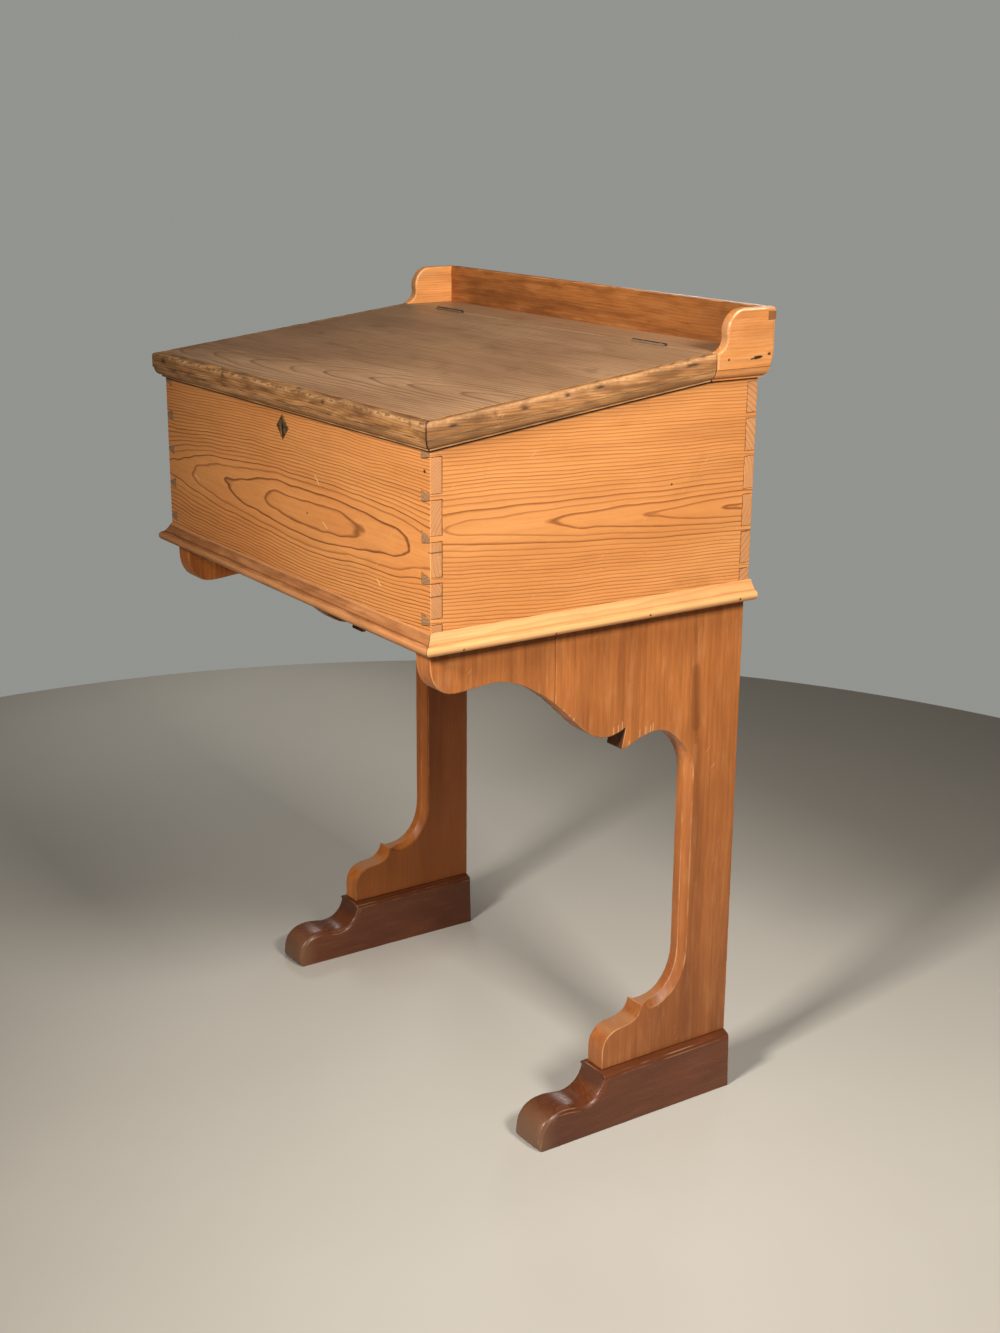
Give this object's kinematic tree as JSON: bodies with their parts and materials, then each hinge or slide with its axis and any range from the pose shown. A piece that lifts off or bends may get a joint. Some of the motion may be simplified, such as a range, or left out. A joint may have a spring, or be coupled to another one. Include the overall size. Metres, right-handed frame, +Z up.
{
  "type": "school desk",
  "caption": "School desk: dovetailed pine box with a sloping hinged lid, lock and gallery shelf, on shaped leg panels with sled feet.",
  "frame": {"origin": "centre of the desk's outline on the floor", "axes": "+Z up; -Y towards the front, where the sitter is; +X to the sitter's right"},
  "size_m": [0.668, 0.462, 0.976],
  "materials": {
    "honey_pine": "satin wax",
    "dark_pine": "satin wax",
    "worn_pine": "worn, nearly matt",
    "yellow_pine": "satin wax",
    "red_pine": "satin wax",
    "mahogany": "satin polish",
    "raw_pine": "bare, matt",
    "old_brass": "tarnished",
    "iron": "dark, dull"
  },
  "bodies": {
    "desk": {"front_board": "honey_pine", "back_board": "honey_pine", "left_side_board": "honey_pine", "right_side_board": "honey_pine", "gallery_left_end": "honey_pine", "gallery_right_end": "honey_pine", "hinge_rail": "dark_pine", "gallery_back": "dark_pine", "base_moulding_front": "yellow_pine", "base_moulding_left": "yellow_pine", "base_moulding_right": "yellow_pine", "left_leg_front_board": "red_pine", "left_leg_rear_board": "red_pine", "right_leg_front_board": "red_pine", "right_leg_rear_board": "red_pine", "left_foot": "mahogany", "right_foot": "mahogany", "bottom_board": "raw_pine", "left_cleat": "raw_pine", "right_cleat": "raw_pine", "escutcheon": "old_brass", "lock_case": "iron", "lock_screw_1": "iron", "lock_screw_2": "iron", "left_rail_leaf": "iron", "right_rail_leaf": "iron", "left_rail_leaf_screw_1": "iron", "left_rail_leaf_screw_2": "iron", "right_rail_leaf_screw_1": "iron", "right_rail_leaf_screw_2": "iron", "left_hinge_pin": "iron", "right_hinge_pin": "iron", "left_cleat_up_screw_1": "iron", "left_cleat_up_screw_2": "iron", "left_cleat_side_screw_1": "iron", "left_cleat_side_screw_2": "iron", "right_cleat_up_screw_1": "iron", "right_cleat_up_screw_2": "iron", "right_cleat_side_screw_1": "iron", "right_cleat_side_screw_2": "iron"},
    "lid": {"lid_panel": "worn_pine", "lid_moulding_front": "worn_pine", "lid_moulding_left": "worn_pine", "lid_moulding_right": "worn_pine", "link_plate": "iron", "link_screw_1": "iron", "link_screw_2": "iron", "left_lid_leaf": "iron", "left_lid_leaf_screw_1": "iron", "left_lid_leaf_screw_2": "iron", "right_lid_leaf": "iron", "right_lid_leaf_screw_1": "iron", "right_lid_leaf_screw_2": "iron"},
    "lock_bolt": {"lock_bolt": "iron"}
  },
  "joints": [
    {"name": "lid_hinge", "type": "hinge", "parent": "desk", "child": "lid", "pos_m": [0, 0.1465, 0.928], "axis": [-1, 0, 0], "range_deg": [0, 110]},
    {"name": "lock_bolt_slide", "type": "slide", "parent": "desk", "child": "lock_bolt", "axis": [1, 0, 0], "range_m": [0, 0.01]}
  ]
}
